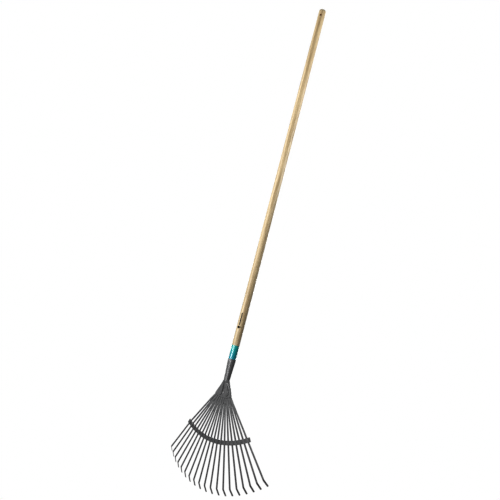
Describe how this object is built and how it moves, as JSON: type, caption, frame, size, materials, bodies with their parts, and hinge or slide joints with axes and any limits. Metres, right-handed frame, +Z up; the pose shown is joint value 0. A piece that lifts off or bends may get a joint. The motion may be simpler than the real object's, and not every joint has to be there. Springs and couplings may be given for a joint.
{
  "type": "leaf rake",
  "caption": "Long-handled leaf rake: a round ash handle in a steel socket with a spread fan of flat spring-steel tines, braced across and bent at the tips.",
  "frame": {"origin": "centre of the hanging hole, on the handle's axis", "axes": "+Z up the handle away from the tines, X across the fan, +Y the way the tine tips are bent"},
  "size_m": [0.4936, 0.0844, 1.9546],
  "materials": {
    "ash_wood": "clear satin oil on straight-grained ash",
    "teal_gloss": "glossy film",
    "charcoal_steel": "semi-gloss charcoal powder coat",
    "spring_steel": "semi-gloss charcoal coat on spring steel",
    "bright_steel": "zinc-plated"
  },
  "bodies": {
    "root": {"handle": "ash_wood", "handle_band": "teal_gloss", "socket": "charcoal_steel", "socket_screw": "bright_steel", "clamp_plate": "charcoal_steel", "clamp_rivet": "charcoal_steel", "tine_01": "spring_steel", "tine_02": "spring_steel", "tine_03": "spring_steel", "tine_04": "spring_steel", "tine_05": "spring_steel", "tine_06": "spring_steel", "tine_07": "spring_steel", "tine_08": "spring_steel", "tine_09": "spring_steel", "tine_10": "spring_steel", "tine_11": "spring_steel", "tine_12": "spring_steel", "tine_13": "spring_steel", "tine_14": "spring_steel", "tine_15": "spring_steel", "tine_16": "spring_steel", "tine_17": "spring_steel", "tine_18": "spring_steel", "tine_19": "spring_steel", "brace_front": "charcoal_steel", "brace_rear": "charcoal_steel", "brace_rivets": "charcoal_steel"}
  },
  "joints": []
}
